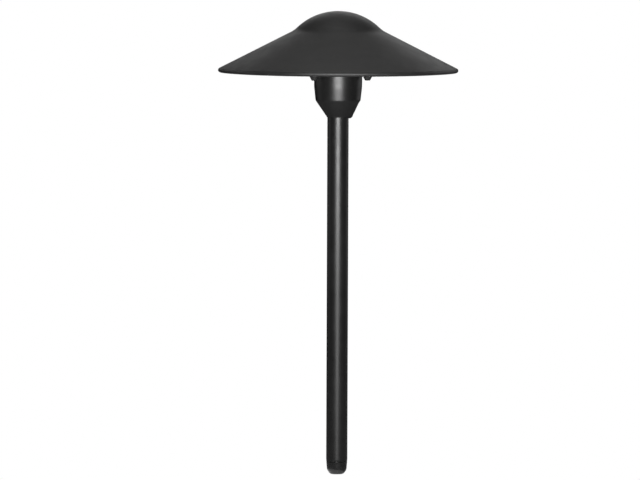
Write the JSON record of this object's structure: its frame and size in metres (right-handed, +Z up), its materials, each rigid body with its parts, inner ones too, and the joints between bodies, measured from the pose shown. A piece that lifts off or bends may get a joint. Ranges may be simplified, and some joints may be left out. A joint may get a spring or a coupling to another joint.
{
  "type": "garden path light",
  "caption": "Black post-top garden path light: wide domed conical hat clamped by studs and cap nuts over a glass lamp chamber, bell-shaped lamp cup, and straight tube stem with a rounded foot.",
  "frame": {"origin": "centre of the stem's lower end face", "axes": "+Z up along the stem towards the hat; -Y is the front, +X the right-hand side seen from the front"},
  "size_m": [0.2502, 0.2502, 0.4837],
  "materials": {
    "black_paint": "fine-texture satin powder coat",
    "white_paint": "gloss white, reflective",
    "stainless_steel": "satin",
    "blackened_steel": "blackened, semi-gloss",
    "aluminium": "satin",
    "brass": "satin",
    "black_rubber": "matt",
    "silicone": "matt",
    "frosted_glass": "frosted",
    "ceramic": "smooth unglazed ceramic",
    "lamp_board": "matt white circuit board",
    "phosphor": "matt yellow phosphor",
    "red_insulation": "satin",
    "black_insulation": "satin"
  },
  "bodies": {
    "stem": {"stem": "black_paint", "stem_foot": "black_rubber", "cable_grommet": "black_rubber", "supply_cable": "black_insulation"},
    "head": {"lamp_cup": "black_paint", "neck_o_ring": "black_rubber", "holder_plate": "aluminium", "plate_screw_left": "stainless_steel", "plate_screw_right": "stainless_steel", "lamp_holder": "ceramic", "holder_screw_front": "stainless_steel", "holder_screw_rear": "stainless_steel", "contact_left": "brass", "contact_right": "brass", "lead_red": "red_insulation", "lead_black": "black_insulation", "lens_seal_lower": "silicone"},
    "set_screw": {"neck_set_screw": "blackened_steel"},
    "lens": {"lens": "frosted_glass", "lens_seal_upper": "silicone"},
    "lamp": {"lamp_base": "ceramic", "lamp_pin_left": "brass", "lamp_pin_right": "brass", "lamp_core": "lamp_board", "led_chip_1": "phosphor", "led_chip_2": "phosphor", "led_chip_3": "phosphor", "led_chip_4": "phosphor", "led_chip_5": "phosphor", "led_chip_6": "phosphor"},
    "hat": {"hat": "black_paint", "reflector_plate": "white_paint", "stud_right": "stainless_steel", "stud_left": "stainless_steel", "stud_rear": "stainless_steel", "spacer_right": "stainless_steel", "spacer_left": "stainless_steel", "spacer_rear": "stainless_steel", "stud_nut_right": "stainless_steel", "stud_nut_left": "stainless_steel", "stud_nut_rear": "stainless_steel"},
    "washer_right": {"washer_right": "stainless_steel"},
    "cap_nut_right": {"cap_nut_right": "blackened_steel"},
    "washer_left": {"washer_left": "stainless_steel"},
    "cap_nut_left": {"cap_nut_left": "blackened_steel"},
    "washer_rear": {"washer_rear": "stainless_steel"},
    "cap_nut_rear": {"cap_nut_rear": "blackened_steel"}
  },
  "joints": [
    {"name": "head_turn", "type": "hinge", "parent": "stem", "child": "head", "pos_m": [0, 0, 0.3731], "axis": [0, 0, 1], "range_deg": [-180, 180]},
    {"name": "set_screw_turn", "type": "hinge", "parent": "head", "child": "set_screw", "pos_m": [0.01594, -0.00224, 0.3765], "axis": [0.9903, -0.1392, 0], "range_deg": [0, 720]},
    {"name": "hat_lift", "type": "slide", "parent": "head", "child": "hat", "axis": [0, 0, 1], "range_m": [0, 0.11]},
    {"name": "lens_lift", "type": "slide", "parent": "head", "child": "lens", "axis": [0, 0, 1], "range_m": [0, 0.05]},
    {"name": "lamp_pull", "type": "slide", "parent": "head", "child": "lamp", "axis": [0, 0, 1], "range_m": [0, 0.016]},
    {"name": "washer_drop_right", "type": "slide", "parent": "head", "child": "washer_right", "axis": [0, 0, -1], "range_m": [0, 0.007]},
    {"name": "nut_turn_right", "type": "hinge", "parent": "washer_right", "child": "cap_nut_right", "pos_m": [0.03054, -0.01112, 0.4229], "axis": [0, 0, -1], "range_deg": [0, 2520]},
    {"name": "washer_drop_left", "type": "slide", "parent": "head", "child": "washer_left", "axis": [0, 0, -1], "range_m": [0, 0.007]},
    {"name": "nut_turn_left", "type": "hinge", "parent": "washer_left", "child": "cap_nut_left", "pos_m": [-0.0249, -0.02089, 0.4229], "axis": [0, 0, -1], "range_deg": [0, 2520]},
    {"name": "washer_drop_rear", "type": "slide", "parent": "head", "child": "washer_rear", "axis": [0, 0, -1], "range_m": [0, 0.007]},
    {"name": "nut_turn_rear", "type": "hinge", "parent": "washer_rear", "child": "cap_nut_rear", "pos_m": [-0.00564, 0.03201, 0.4229], "axis": [0, 0, -1], "range_deg": [0, 2520]}
  ],
  "couplings": [
    {"joint": "lens_lift", "follows": "hat_lift", "ratio": 0.45},
    {"joint": "lamp_pull", "follows": "hat_lift", "ratio": 0.14},
    {"joint": "nut_turn_right", "follows": "washer_drop_right", "rad_per_m": 6283.2},
    {"joint": "nut_turn_left", "follows": "washer_drop_left", "rad_per_m": 6283.2},
    {"joint": "nut_turn_rear", "follows": "washer_drop_rear", "rad_per_m": 6283.2}
  ]
}
